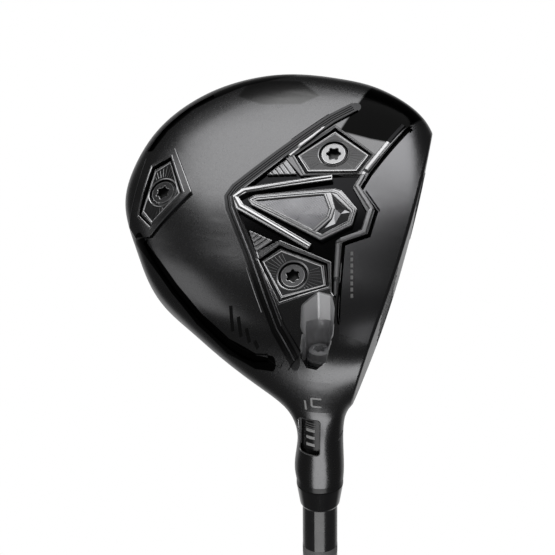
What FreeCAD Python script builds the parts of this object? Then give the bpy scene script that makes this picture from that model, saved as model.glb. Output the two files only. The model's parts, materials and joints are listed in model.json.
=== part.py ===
import FreeCAD, Part
import Sketcher
import math
import os

# Adjustable fairway wood, full club.  Millimetres.
# +X runs from the toe to the heel, +Y from the face to the rear, +Z up; the origin is on the
# ground below the middle of the sole.  The shaft leans towards +X by its lie angle.

os.makedirs("parts", exist_ok=True)
Vec = FreeCAD.Vector
doc = FreeCAD.newDocument("fairway_wood")

# ---------------------------------------------------------------- driving dimensions
SIZES = (
    ("lie_angle", 58.3), ("loft_angle", 13.5),
    ("axis_foot_x", 21.2), ("axis_foot_y", -11.3),
    ("wall", 1.8), ("crown_wall", 1.2), ("face_wall", 2.6), ("seam", 0.05),
    ("face_bulge", 330), ("face_top", 34.5),
    ("hosel_radius", 6.17), ("hosel_top", 55.5), ("bore_radius", 5.15), ("bolt_seat", 20),
    ("sleeve_radius", 5.09), ("tip_radius", 4.4), ("collar_length", 8.2),
    ("bolt_radius", 2.4), ("bolt_head_radius", 2.8), ("screw_radius", 2.4), ("screw_head_radius", 3.4),
    ("socket_radius", 1.96), ("thread_gap", 0.05),
    ("plate_bottom", 3.35), ("plate_top", 0.5), ("pocket_depth", 3.4), ("plate_inset", 0.55),
    ("shaft_butt", 1085), ("butt_radius", 7.62), ("shaft_wall", 1.4),
    ("grip_start", 822), ("grip_mouth_radius", 9.6), ("grip_end_radius", 13.4), ("vent_radius", 2.0),
)
sheet = doc.addObject("Spreadsheet::Sheet", "sizes")
for row, (alias, number) in enumerate(SIZES, start=1):
    sheet.set("A%d" % row, alias)
    sheet.set("B%d" % row, str(number))
    sheet.setAlias("B%d" % row, alias)
doc.recompute()


def size(alias):
    return float(sheet.get(alias))


# ---------------------------------------------------------------- frames
LIE = math.radians(size("lie_angle"))
AXIS = Vec(math.cos(LIE), 0, math.sin(LIE))
AXIS_FOOT = Vec(size("axis_foot_x"), size("axis_foot_y"), 0)
# local frame of everything on the shaft axis: local Z up the shaft, local Y towards the rear
SHAFT_FRAME = FreeCAD.Placement(AXIS_FOOT, FreeCAD.Rotation(Vec(0, 1, 0), 90 - size("lie_angle")))


def on_axis(distance):
    return AXIS_FOOT + AXIS * distance


# ---------------------------------------------------------------- head skin
# Cross sections from toe to hosel.  Each: x, turn about the hinge line (deg), rise up the shaft,
# front y, rear y, sole height, crown height, skirt height.
HINGE_X, HINGE_Z = 24.0, 45.0
SECTIONS = (
    (-46.3, 0, 0, 1.6, 8.2, 11.1, 13.6, 12.3),
    (-46.1, 0, 0, -2.6, 12.2, 9.6, 15.2, 12.3),
    (-45.4, 0, 0, -7.4, 17.4, 7.9, 17.5, 12.3),
    (-44.0, 0, 0, -12.0, 23.2, 6.4, 20.0, 12.3),
    (-41.5, 0, 0, -17.6, 29.6, 5.1, 23.2, 12.4),
    (-37.7, 0, 0, -22.6, 36.2, 4.0, 26.8, 12.6),
    (-32.0, 0, 0, -26.4, 42.6, 2.9, 30.0, 12.8),
    (-23.0, 0, 0, -31.0, 48.6, 1.7, 33.0, 13.0),
    (-12.0, 0, 0, -34.5, 51.5, 0.9, 34.7, 13.2),
    (0.0, 0, 0, -35.5, 50.7, 0.5, 35.2, 13.4),
    (12.0, 0, 0, -35.0, 43.9, 0.9, 34.4, 13.9),
    (24.0, 0, 0, -33.0, 34.0, 2.1, 32.4, 15.0),
    (24.0, 12, 0, -30.0, 24.4, 4.6, 31.3, 16.5),
    (24.0, 24, 0, -25.6, 14.2, 9.8, 30.8, 19.0),
    (24.0, 36, 0, -20.6, 4.2, 14.7, 30.5, 21.6),
    (24.0, 47, 0, -18.1, -2.6, 17.3, 30.35, 23.4),
)
POINTS_PER_SECTION = 40
# how far up the shaft axis the turned sections have come when they are square to it
HINGE_REACH = (HINGE_X - AXIS_FOOT.x) * AXIS.x + HINGE_Z * AXIS.z
NECK_STEPS = (0.0, 8.0, size("hosel_top") - HINGE_REACH)


def superellipse(angle, exponent):
    across = abs(math.cos(angle)) ** (2 / exponent)
    up = abs(math.sin(angle)) ** (2 / exponent)
    return math.copysign(across, math.cos(angle)), math.copysign(up, math.sin(angle))


def neck_section(rise):
    """Where the skin has become the round hosel, square to the shaft axis."""
    centre = on_axis(HINGE_REACH) - Vec(HINGE_X, 0, HINGE_Z)
    distance = math.hypot(centre.x, centre.z)
    radius = size("hosel_radius")
    return (HINGE_X, size("lie_angle"), rise,
            AXIS_FOOT.y - radius, AXIS_FOOT.y + radius,
            HINGE_Z - distance - radius, HINGE_Z - distance + radius, HINGE_Z - distance)


def section_curve(section, grow):
    x, turn, rise, front, rear, sole, crown, skirt = section
    roundness = min(1.0, turn / size("lie_angle"))
    if turn == 0:
        x -= grow * min(1.0, max(0.0, (-20 - x) / 25))
    front, rear, sole, crown = front - grow, rear + grow, sole - grow, crown + grow
    middle = front + (rear - front) * (0.46 + 0.04 * roundness)
    angle = math.radians(turn)
    points = []
    for step in range(POINTS_PER_SECTION):
        around = 2 * math.pi * step / POINTS_PER_SECTION
        if math.sin(around) > 0:
            exponent = 2.1
        elif math.cos(around) > 0:
            exponent = 2.5
        else:
            exponent = 2.6
        exponent += (2 - exponent) * roundness
        across, up = superellipse(around, exponent)
        y = middle + across * ((rear - middle) if across > 0 else (middle - front))
        height = skirt + up * ((crown - skirt) if up > 0 else (skirt - sole))
        drop = HINGE_Z - height
        if turn == 0:
            points.append(Vec(x, y, height))
        else:
            point = Vec(x + drop * math.sin(angle), y, HINGE_Z - drop * math.cos(angle))
            points.append(point + AXIS * rise)
    curve = Part.BSplineCurve()
    knots = [step / POINTS_PER_SECTION for step in range(POINTS_PER_SECTION + 1)]
    curve.interpolate(Points=points, Parameters=knots, PeriodicFlag=True)
    return curve


def skin(grow):
    """Solid inside the head's outer surface, grown or shrunk by a distance."""
    curves = [section_curve(section, grow) for section in SECTIONS]
    curves += [section_curve(neck_section(rise), grow) for rise in NECK_STEPS]
    gaps = [0.0]
    for before, after in zip(curves, curves[1:]):
        samples = [before.value(part / 8).distanceToPoint(after.value(part / 8)) for part in range(8)]
        gaps.append(gaps[-1] + sum(samples) / 8)
    rails = []
    for pole in range(1, curves[0].NbPoles + 1):
        rail = Part.BSplineCurve()
        rail.interpolate(Points=[curve.getPole(pole) for curve in curves], Parameters=gaps)
        rails.append(rail)
    surface = Part.BSplineSurface()
    surface.buildFromPolesMultsKnots(
        [rail.getPoles() for rail in rails],
        curves[0].getMultiplicities(), rails[0].getMultiplicities(),
        curves[0].getKnots(), rails[0].getKnots(),
        True, False, curves[0].Degree, rails[0].Degree)
    side = surface.toShape()
    rims = [Part.Wire([edge]) for edge in side.Edges if edge.isClosed()]
    shell = Part.Shell([side] + [Part.Face(rim) for rim in rims])
    shell.sewShape()
    return Part.Solid(shell)


# ---------------------------------------------------------------- solids from outlines
SKINS = {}


def skin_at(grow):
    if grow not in SKINS:
        SKINS[grow] = skin(grow)
    return SKINS[grow]


def prism(outline, low, high):
    corners = [Vec(x, y, low) for x, y in outline]
    face = Part.Face(Part.makePolygon(corners + corners[:1]))
    return face.extrude(Vec(0, 0, high - low))


TRIM_TOP = 16.0


def on_sole(outline, low, high):
    """Plate that follows the sole: depths are measured outwards from the skin."""
    return prism(outline, -6, TRIM_TOP).common(skin_at(high)).cut(skin_at(low))


def ribbon(path, half_width, end_half_width=None):
    """Outline of a strip along a path, with mitred corners and an optional taper."""
    last = len(path) - 1
    end_half_width = half_width if end_half_width is None else end_half_width
    left, right = [], []
    for index, (x, y) in enumerate(path):
        before = path[max(0, index - 1)]
        after = path[min(last, index + 1)]
        sides = []
        for start, end in ((before, (x, y)), ((x, y), after)):
            length = math.dist(start, end)
            if length > 0:
                sides.append(((start[1] - end[1]) / length, (end[0] - start[0]) / length))
        nx = sum(side[0] for side in sides) / len(sides)
        ny = sum(side[1] for side in sides) / len(sides)
        half = half_width + (end_half_width - half_width) * index / last
        reach = half / (nx * nx + ny * ny)
        left.append((x + nx * reach, y + ny * reach))
        right.append((x - nx * reach, y - ny * reach))
    return left + right[::-1]


def smooth_path(points, count):
    curve = Part.BSplineCurve()
    curve.interpolate([Vec(x, y, 0) for x, y in points])
    return [(point.x, point.y) for point in curve.toShape().discretize(count)]


def sole_height(x, y):
    crossing = Part.makeLine(Vec(x, y, -20), Vec(x, y, 12)).common(skin_at(0))
    return min(vertex.Z for vertex in crossing.Vertexes)


def sole_frame(x, y, apex):
    """Frame on the sole: local Z outwards, local Y along the given plan direction."""
    step = 1.5
    slope_x = (sole_height(x + step, y) - sole_height(x - step, y)) / (2 * step)
    slope_y = (sole_height(x, y + step) - sole_height(x, y - step)) / (2 * step)
    outward = Vec(slope_x, slope_y, -1).normalize()
    along = Vec(apex[0], apex[1], 0)
    along = (along - outward * along.dot(outward)).normalize()
    rotation = FreeCAD.Rotation(along.cross(outward), along, outward, "ZYX")
    return FreeCAD.Placement(Vec(x, y, sole_height(x, y)), rotation)


def placed(shape, frame):
    copy = shape.copy()
    copy.Placement = frame.multiply(copy.Placement)
    return copy


def cylinder(radius, low, high):
    return Part.makeCylinder(radius, high - low, Vec(0, 0, low))


# ---------------------------------------------------------------- face and cavity
FACE_FOOT_Y, FACE_FOOT_Z = -28.0, 4.0
BULGE_CENTRE_X = 0.0


def behind_face(back):
    """Everything behind the curved face, moved back by a distance; above the face all is kept."""
    slope = math.tan(math.radians(size("loft_angle")))
    top = size("face_top")
    sag = 0.5

    def face_point(height, extra):
        y = FACE_FOOT_Y + back + slope * (height - FACE_FOOT_Z) + extra
        return Vec(BULGE_CENTRE_X, y, height)

    low, middle, high = face_point(-6, sag), face_point(top / 2 - 3, 0), face_point(top, sag)
    corners = [high, Vec(BULGE_CENTRE_X, -80, top), Vec(BULGE_CENTRE_X, -80, 90)]
    corners += [Vec(BULGE_CENTRE_X, 110, 90), Vec(BULGE_CENTRE_X, 110, -6), low]
    edges = [Part.Arc(low, middle, high).toShape()]
    edges += [Part.makeLine(start, end) for start, end in zip(corners, corners[1:])]
    region = Part.Face(Part.Wire(edges))
    pivot = Vec(BULGE_CENTRE_X, FACE_FOOT_Y + size("face_bulge"), 0)
    region.rotate(pivot, Vec(0, 0, 1), -20)
    return region.revolve(pivot, Vec(0, 0, 1), 40)


def cavity(extra):
    """Hollow inside the head; it stops before the solid heel."""
    hollow = skin(-size("wall") - extra).common(behind_face(size("face_wall") + extra))
    heel_stop = Part.makeBox(150, 150, 150, Vec(31 - extra - 150, -75, -20))
    return hollow.common(heel_stop)


def soften_face_edge(head):
    """Round the leading edge and the top line where they are sharp enough to take it."""
    edges = []
    for edge in head.Edges:
        box = edge.BoundBox
        if box.YMax < -12 and box.XMin > -46 and box.ZMax < 33 and edge.Length > 20:
            edges.append(edge)
    try:
        softened = head.makeFillet(1.0, edges)
        return softened if softened.isValid() and softened.Volume > 0 else head
    except Part.OCCError:
        return head


def code_part(name, shape, frame=None):
    """Free-form piece: its shape comes from code, its place is set afterwards."""
    piece = doc.addObject("Part::Feature", name)
    piece.Label = name
    piece.Shape = shape
    if frame is not None:
        piece.Placement = frame
    return piece


# ---------------------------------------------------------------- sole layout
# Plan outlines on the sole.  The V points to the rear; its arms lead to the toe and the heel.
RIDGE = [(-35.5, -4.4), (-30.5, 0.4), (-16.8, 10.6), (-5.0, 19.0), (-2.2, 19.9), (0.9, 18.6),
         (13.0, 10.1), (23.0, 3.6), (31.0, -1.8), (36.5, -7.2)]
GROOVE = [(-33.0, -19.9), (-16.0, -14.5), (-11.1, -13.5), (-6.0, -19.0), (1.6, -19.0),
          (5.5, -13.4), (24.6, -17.1), (26.2, -17.6)]
TOE_RAIL = [(-33.0, -18.3), (-16.6, -12.9)]
CENTRE_RECESS = [(-2.4, 18.4), (-9.6, 13.5), (-16.2, 8.8), (-11.6, 3.2), (-15.0, -10.6), (-15.2, -12.0),
                 (-11.0, -11.0), (-4.9, -16.4), (0.3, -16.4), (5.2, -11.4), (20.8, -15.2), (19.4, -13.6),
                 (11.2, -11.3), (7.8, 3.4), (12.4, 8.6), (2.0, 16.4)]
RECESS_DEPTH = 0.7
V_RAIL = [(-2.5, 19.2), (-5.0, 17.4), (-13.3, -4.7), (-11.8, -5.2), (-4.1, 15.6), (-2.3, 17.6),
          (-0.4, 15.6), (7.5, -5.1), (9.0, -4.6), (1.0, 17.2)]
BADGE_RIM = [(-2.1, 14.8), (-3.6, 13.4), (-9.4, -6.6), (-9.2, -8.4), (-4.8, -13.8), (-0.1, -13.8),
             (5.8, -7.2), (-0.7, 13.4)]
LENS = [(-2.1, 13.0), (-7.3, -4.6), (-3.4, -7.2), (-0.8, -7.2), (3.5, -4.5)]
GEM = [(-7.9, -6.0), (-3.7, -12.6), (-0.9, -12.6), (4.3, -7.1), (3.9, -5.5), (-0.6, -8.2), (-3.6, -8.2)]
TOE_CHEVRON = [(-10.4, 12.1), (-15.6, 8.5), (-12.0, 4.7)]
HEEL_CHEVRON = [(6.4, 12.0), (8.2, 5.4), (11.8, 8.6)]
SURROUND = [(-13.2, 47.0), (-14.6, 39.3), (-2.0, 30.6), (11.0, 39.0), (10.6, 43.6), (7.4, 46.6)]
RIM_GROOVE_TOE = [(-33.4, 34.6), (-29.0, 39.6), (-21.4, 44.8), (-14.6, 47.0)]
RIM_GROOVE_HEEL = [(11.4, 40.4), (21.0, 31.2), (28.6, 21.6), (34.2, 12.3), (36.3, 6.6), (36.6, 0.0)]
HEEL_FACET = [(32.6, -2.5), (35.2, -5.4), (38.0, -3.4), (36.4, 1.0)]

# Weight ports: plan x, plan y, plan direction of the pentagon's point, length factor
PORTS = {
    "toe": (-20.2, -3.0, (-0.976, 0.218), 1.0),
    "heel": (16.6, -2.5, (0.98, 0.19), 1.0),
    "rear": (-1.8, 39.1, (0.0, -1.0), 0.8),
}


def pentagon(inset, stretch):
    base, side, point = 7.0 - inset * 0.9, 10.3 - inset * 1.15, 8.0 - inset * 1.35
    foot = 6.4 - inset
    return [(-base, -foot * stretch), (base, -foot * stretch), (side, -0.6 * stretch),
            (0, point * stretch), (-side, -0.6 * stretch)]


def port_frame(name):
    x, y, apex, _ = PORTS[name]
    return sole_frame(x, y, apex)


def port_solids(name):
    """Material added inside the head for a weight port, and the space taken out of it."""
    stretch = PORTS[name][3]
    depth = size("pocket_depth")
    seat = prism(pentagon(-1.3, stretch), -depth - 1.6, 2)
    boss = cylinder(4.6, -depth - 7.6, -depth)
    pocket = prism(pentagon(0, stretch), -depth, 6)
    bore = cylinder(size("screw_radius") + size("thread_gap"), -depth - 6.4, -depth + 1)
    frame = port_frame(name)
    return placed(seat.fuse(boss), frame), placed(pocket.fuse(bore), frame)


# ---------------------------------------------------------------- hosel spaces
WEB = 3.5


def scoop(grow):
    """Channel that lets a key reach the bolt along the shaft axis, flared towards the heel."""
    seat = size("bolt_seat") + grow
    key_way = [(-1.9 - grow, -2.7 - grow), (0.4, -4.2 - grow),
               (5.0, -5.2 - grow), (6.2 + grow, -3.8 - grow),
               (6.4 + grow, 1.0 + grow), (5.2, 3.2 + grow),
               (1.4 - grow, 4.3 + grow), (-1.9 - grow, 1.0 + grow)]
    flare = [(-0.5, -3.9 - grow), (4.6, -3.6 - grow), (6.4 + grow, -1.4 - grow),
             (6.4 + grow, 1.2 + grow), (4.6, 3.2 + grow), (-0.5, 3.7 + grow)]
    straight = prism(key_way, -8, seat)
    straight = straight.makeFillet(1.0, [edge for edge in straight.Edges if edge.Length > seat])
    corners = [Vec(x, y, seat) for x, y in flare]
    tilted = Part.Face(Part.makePolygon(corners + corners[:1])).extrude(Vec(14.5, -2.5, -25))
    head_room = cylinder(3.55 + grow, 8.5, seat)
    return along_shaft(straight.multiFuse([tilted, head_room]))


def along_shaft(shape):
    return placed(shape, SHAFT_FRAME)


def hosel_bore():
    seat = size("bolt_seat")
    bore = cylinder(size("bore_radius"), seat + WEB, size("hosel_top") + 5)
    passage = cylinder(2.7, seat - 3, seat + WEB + 1)
    return along_shaft(bore.fuse(passage))


def index_teeth():
    """Eight teeth at the foot of the bore that hold the sleeve's angle."""
    teeth = []
    for turn in range(8):
        tooth = Part.makeBox(1.2, 1.2, 2.6, Vec(size("bore_radius") - 0.75, -0.6, size("bolt_seat") + WEB))
        tooth.rotate(Vec(0, 0, 0), Vec(0, 0, 1), 45 * turn)
        teeth.append(tooth.common(cylinder(size("bore_radius") + 0.3, 0, 60)))
    return along_shaft(teeth[0].multiFuse(teeth[1:]))


def hosel_window():
    """Opening on the heel side of the hosel that shows the sleeve's mark."""
    block = Part.makeBox(6, 6.0, 10.6, Vec(3.5, -2.0, 34.6))
    edges = [edge for edge in block.Edges if abs(edge.tangentAt(edge.FirstParameter).x) > 0.9]
    return along_shaft(block.makeFillet(1.0, edges))


# ---------------------------------------------------------------- head: chassis, face, crown
def face_region():
    line = [(x, y) for x, y in GROOVE[:-1]]
    outline = [(-35.0, -60.0), (-35.0, -20.6)] + line + [(29.0, -18.0), (31.0, -60.0)]
    return prism(outline, -10, 26.5)


def crown_region(inset):
    corner = Vec(-60 + inset, -15.5 + inset, 20.0 + inset * 0.7)
    block = Part.makeBox(86.0 - inset, 68.0 - 2 * inset, 40, corner)
    corners = [edge for edge in block.Edges if abs(edge.tangentAt(edge.FirstParameter).z) > 0.9
               and edge.BoundBox.XMin > 0]
    return block.makeFillet(16, corners)


def head_cuts():
    cuts = [on_sole(CENTRE_RECESS, -RECESS_DEPTH, 3), on_sole(V_RAIL, -RECESS_DEPTH, 3)]
    cuts.append(on_sole(ribbon(GROOVE, 0.75, 0.3), -0.8, 3))
    for path in (RIM_GROOVE_TOE, RIM_GROOVE_HEEL):
        cuts.append(on_sole(ribbon(smooth_path(path, 14), 0.7), -0.7, 3))
    return cuts


def raised_trim():
    trim = [on_sole(ribbon(RIDGE, 1.5, 2.2), -0.9, 0.45)]
    trim.append(on_sole(ribbon(TOE_RAIL, 0.75, 0.7), -0.9, 0.35))
    trim.append(on_sole(SURROUND, -0.9, 0.8))
    trim.append(on_sole(HEEL_FACET, -0.5, 0.35))
    return trim


LIP_GAP = 0.1
outer = soften_face_edge(skin(0).common(behind_face(0)))
inner = cavity(0)
shell = outer.cut(inner)
ports = [port_solids(name) for name in PORTS]
inside_skin = skin_at(0)
supports = [solid.common(inside_skin) for solid, _ in ports]
supports.append(scoop(1.6).common(inside_skin).common(behind_face(1)))
supports.append(along_shaft(cylinder(6.9, 20, 32)).common(inside_skin))
supports.append(on_sole(BADGE_RIM, -3.0, -1.0))
supports.append(skin_at(-size("crown_wall") - LIP_GAP).cut(skin_at(-2.6)).common(
    crown_region(-1.0)).cut(crown_region(4.5)).common(behind_face(1.5)))

crown = skin_at(0).cut(skin_at(-size("crown_wall"))).common(crown_region(0)).common(behind_face(0))
body = shell.cut(crown_region(-size("seam")))
body = body.multiFuse(supports + raised_trim())
spaces = head_cuts() + [space for _, space in ports]
spaces += [scoop(0), hosel_bore(), hosel_window()]
body = body.cut(spaces[0].multiFuse(spaces[1:]))


def main_solid(shape):
    return max(shape.Solids, key=lambda solid: solid.Volume)


face = main_solid(body.common(face_region()))
chassis = main_solid(main_solid(body.cut(face_region())).fuse(index_teeth()))
code_part("head_chassis", chassis)
code_part("face_shell", face)
code_part("crown_panel", crown)


# ---------------------------------------------------------------- inside the head
def bridge_weight():
    """Steel bar on two feet just behind the face."""
    bar = Part.makeBox(31, 7.0, 6.0, Vec(-16.5, -22.0, 6.5))
    feet = [Part.makeBox(5.0, 7.0, 9.0, Vec(x, -22.0, -1)) for x in (-16.5, 9.5)]
    column = Part.makeBox(9.0, 12.0, 4.0, Vec(-6.5, -16.0, 7.0))
    raw = bar.multiFuse(feet + [column])
    return main_solid(raw.common(inner).cut(chassis).cut(face))


code_part("bridge_weight", bridge_weight())


# ---------------------------------------------------------------- sole badges
def chevron(outline):
    """Triangular badge with bars parallel to its short edge."""
    plate = on_sole(outline, -RECESS_DEPTH, -0.1)
    point, start, end = outline
    for part in (0.2, 0.4, 0.6, 0.8):
        line = [(corner[0] + (point[0] - corner[0]) * part, corner[1] + (point[1] - corner[1]) * part)
                for corner in (start, end)]
        plate = plate.cut(on_sole(ribbon(line, 0.2), -0.4, 1))
    return main_solid(plate)


badge_rim = on_sole(BADGE_RIM, -RECESS_DEPTH, 0.4).cut(prism(LENS, -6, 22)).cut(prism(GEM, -6, 22))
code_part("badge_rim", main_solid(badge_rim))
code_part("badge_lens", on_sole(LENS, -RECESS_DEPTH, 0.1))
code_part("badge_gem", on_sole(GEM, -RECESS_DEPTH, 0.15))
code_part("v_rail", on_sole(V_RAIL, -RECESS_DEPTH, 0.5))
code_part("toe_chevron", chevron(TOE_CHEVRON))
code_part("heel_chevron", chevron(HEEL_CHEVRON))


# ---------------------------------------------------------------- bodies built from sketches
def new_body(name, frame):
    body = doc.addObject("PartDesign::Body", name)
    body.Label = name
    body.Placement = frame
    return body


def new_sketch(body, role, name, lift=0.0):
    sketch = body.newObject("Sketcher::SketchObject", name)
    plane = next(item for item in body.Origin.OriginFeatures if item.Role == role)
    sketch.AttachmentSupport = (plane, [""])
    sketch.MapMode = "FlatFace"
    sketch.AttachmentOffset = FreeCAD.Placement(Vec(0, 0, lift), FreeCAD.Rotation())
    return sketch


def draw_outline(sketch, points):
    first = sketch.GeometryCount
    for start, end in zip(points, points[1:] + points[:1]):
        sketch.addGeometry(Part.LineSegment(Vec(*start, 0), Vec(*end, 0)), False)
    for index in range(len(points)):
        following = first + (index + 1) % len(points)
        sketch.addConstraint(Sketcher.Constraint("Coincident", first + index, 2, following, 1))


def draw_circle(sketch, radius, x=0.0, y=0.0, bound=None):
    index = sketch.addGeometry(Part.Circle(Vec(x, y, 0), Vec(0, 0, 1), radius), False)
    sketch.addConstraint(Sketcher.Constraint("Radius", index, radius))
    if bound:
        sketch.setExpression("Constraints[%d]" % (sketch.ConstraintCount - 1), bound)


def turned_body(name, profile, frame):
    """Round piece: the profile is (radius, height) round the local Z axis."""
    body = new_body(name, frame)
    sketch = new_sketch(body, "XZ_Plane", name + "_profile")
    draw_outline(sketch, profile)
    turned = body.newObject("PartDesign::Revolution", name + "_turned")
    turned.Profile = sketch
    turned.ReferenceAxis = (sketch, ["V_Axis"])
    turned.Angle = 360
    doc.recompute()
    return body


def cut_socket(body, name, radius, depth):
    """Six-lobed drive socket in the outer face of a screw head."""
    core = new_sketch(body, "XY_Plane", name + "_core")
    draw_circle(core, radius * 0.78)
    hole = body.newObject("PartDesign::Pocket", name + "_hole")
    hole.Profile = core
    hole.Length = depth
    lobe = new_sketch(body, "XY_Plane", name + "_lobe")
    draw_circle(lobe, radius * 0.24, radius * 0.76, 0.0)
    notch = body.newObject("PartDesign::Pocket", name + "_notch")
    notch.Profile = lobe
    notch.Length = depth
    lobes = body.newObject("PartDesign::PolarPattern", name + "_lobes")
    lobes.Originals = [notch]
    lobes.Axis = (lobe, ["N_Axis"])
    lobes.Angle = 360
    lobes.Occurrences = 6
    body.Tip = lobes
    doc.recompute()


def screw(name, frame, head_radius, head_height, shank_radius, length, socket):
    """Flat-headed screw; local Z points out of its head, whose face is at zero."""
    bevel = 0.35
    profile = [(0, 0), (head_radius - bevel, 0), (head_radius, -bevel), (head_radius, -head_height),
               (shank_radius, -head_height), (shank_radius, -length + 0.6), (shank_radius - 0.6, -length),
               (0, -length)]
    body = turned_body(name, profile, frame)
    cut_socket(body, name + "_socket", socket, head_height * 0.85)
    return body


def lifted(frame, height):
    return frame.multiply(FreeCAD.Placement(Vec(0, 0, height), FreeCAD.Rotation()))


SCREW_HEAD_HEIGHT, SCREW_TOP = 1.7, 0.65


def weight(name):
    """Five-sided plate with a stepped hole for its screw."""
    body = new_body(name + "_weight", port_frame(name))
    outline = new_sketch(body, "XY_Plane", name + "_outline", -size("plate_bottom"))
    outline.setExpression("AttachmentOffset.Base.z", "-sizes.plate_bottom")
    draw_outline(outline, pentagon(size("plate_inset"), PORTS[name][3]))
    plate = body.newObject("PartDesign::Pad", name + "_plate")
    plate.Profile = outline
    plate.setExpression("Length", "sizes.plate_bottom - sizes.plate_top")
    doc.recompute()
    top_edges = ["Edge%d" % (index + 1) for index, edge in enumerate(plate.Shape.Edges)
                 if abs(edge.BoundBox.ZMin - edge.BoundBox.ZMax) < 0.01
                 and edge.BoundBox.ZMax > -size("plate_top") - 0.01]
    bevel = body.newObject("PartDesign::Chamfer", name + "_bevel")
    bevel.Base = (plate, top_edges)
    bevel.Size = 0.45
    doc.recompute()
    steps = (
        ("recess", size("screw_head_radius") + 0.55, SCREW_TOP + SCREW_HEAD_HEIGHT + 0.05),
        ("hole", size("screw_radius") + 0.25, size("plate_bottom") + 1),
    )
    for label, radius, depth in steps:
        circle = new_sketch(body, "XY_Plane", name + "_" + label)
        draw_circle(circle, radius)
        pocket = body.newObject("PartDesign::Pocket", name + "_" + label + "_cut")
        pocket.Profile = circle
        pocket.Length = depth
        doc.recompute()
    return body


for port in PORTS:
    weight(port)
    screw(port + "_screw", lifted(port_frame(port), -SCREW_TOP), size("screw_head_radius"),
          SCREW_HEAD_HEIGHT, size("screw_radius"), 8.4, size("socket_radius"))

# ---------------------------------------------------------------- hosel hardware
SEAT = size("bolt_seat")
WASHER_THICKNESS, BOLT_HEAD_HEIGHT, PLAY = 1.0, 2.6, 0.05
washer_face = SEAT - PLAY - WASHER_THICKNESS
bolt_face = washer_face - PLAY - BOLT_HEAD_HEIGHT
bolt_frame = lifted(SHAFT_FRAME, bolt_face).multiply(
    FreeCAD.Placement(Vec(0, 0, 0), FreeCAD.Rotation(Vec(0, 1, 0), 180)))
screw("hosel_bolt", bolt_frame, size("bolt_head_radius"), BOLT_HEAD_HEIGHT,
      size("bolt_radius"), 15.5, 1.75)
washer_profile = [(2.5, washer_face), (3.3, washer_face), (3.3, SEAT - PLAY), (2.5, SEAT - PLAY)]
turned_body("bolt_washer", washer_profile, SHAFT_FRAME)


def sleeve():
    """Sleeve glued on the shaft tip: threaded foot, bore for the tip and a flange over the hosel."""
    foot, flange = SEAT + WEB + 0.1, size("hosel_top") + 0.05
    radius, thread = size("sleeve_radius"), size("bolt_radius") + size("thread_gap")
    bore = size("tip_radius") + PLAY
    profile = [(thread, foot), (radius, foot), (radius, flange), (6.1, flange),
               (6.1, flange + 1.5), (bore, flange + 1.5), (bore, TIP_START), (thread, TIP_START)]
    body = turned_body("hosel_sleeve", profile, SHAFT_FRAME)
    slot = new_sketch(body, "XY_Plane", "sleeve_slot", foot + 2.9)
    inner, outer = radius - 0.85, radius + 0.5
    draw_outline(slot, [(inner, -0.75), (outer, -0.75), (outer, 0.75), (inner, 0.75)])
    notch = body.newObject("PartDesign::Pocket", "sleeve_notch")
    notch.Profile = slot
    notch.Length = 4
    ring = body.newObject("PartDesign::PolarPattern", "sleeve_notches")
    ring.Originals = [notch]
    ring.Axis = (slot, ["N_Axis"])
    ring.Angle = 360
    ring.Occurrences = 8
    body.Tip = ring
    doc.recompute()
    return body


TIP_START = 34.0
FERRULE_START = size("hosel_top") + 1.6
FERRULE_END = size("hosel_top") + size("collar_length")
sleeve()
turned_body("ferrule", [
    (4.6, FERRULE_START), (6.0, FERRULE_START), (6.1, FERRULE_START + 0.4),
    (5.2, FERRULE_END - 0.5), (4.95, FERRULE_END), (4.6, FERRULE_END),
], SHAFT_FRAME)

# ---------------------------------------------------------------- shaft and grip
BUTT = size("shaft_butt")
PARALLEL_END = 140.0


def shaft_radius(distance):
    """Outer radius: parallel tip, then an even taper to the butt."""
    part = max(0.0, distance - PARALLEL_END) / (BUTT - 180 - PARALLEL_END)
    return 4.55 + (size("butt_radius") - 4.55) * min(1.0, part)


tip, wall = size("tip_radius"), size("shaft_wall")
turned_body("shaft", [
    (tip, TIP_START + 0.1), (tip, FERRULE_START + 0.5),
    (4.55, FERRULE_START + 0.6), (4.55, PARALLEL_END),
    (size("butt_radius"), BUTT - 180), (size("butt_radius"), BUTT), (size("butt_radius") - wall, BUTT),
    (size("butt_radius") - wall, BUTT - 180), (4.55 - wall, PARALLEL_END), (tip - wall, TIP_START + 0.1),
], SHAFT_FRAME)

TAPE = 0.2
grip_start = size("grip_start")


def grip_radius(distance):
    part = (distance - grip_start) / (BUTT - grip_start)
    return size("grip_mouth_radius") + (size("grip_end_radius") - size("grip_mouth_radius")) * part


steps = [grip_start + 3, BUTT - 180, BUTT - 90, BUTT - 0.5]
tape_outer = [(shaft_radius(z) + TAPE, z) for z in steps]
tape_inner = [(shaft_radius(z) + 0.01, z) for z in reversed(steps)]
turned_body("grip_tape", tape_outer + tape_inner, SHAFT_FRAME)
grip_outer = [(grip_radius(grip_start) - 0.6, grip_start), (grip_radius(grip_start), grip_start + 0.8),
              (grip_radius(grip_start + 14), grip_start + 14), (grip_radius(BUTT), BUTT)]
grip_inner = [(shaft_radius(z) + TAPE + 0.01, z) for z in (BUTT, BUTT - 180, grip_start)]
turned_body("grip", grip_outer + grip_inner, SHAFT_FRAME)
end = size("grip_end_radius")
turned_body("grip_cap", [
    (size("vent_radius"), BUTT + 0.05), (end, BUTT + 0.05), (end + 1.1, BUTT + 1.0),
    (end + 1.1, BUTT + 2.2), (end - 2.5, BUTT + 4.0), (size("vent_radius"), BUTT + 4.6),
], SHAFT_FRAME)

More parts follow.
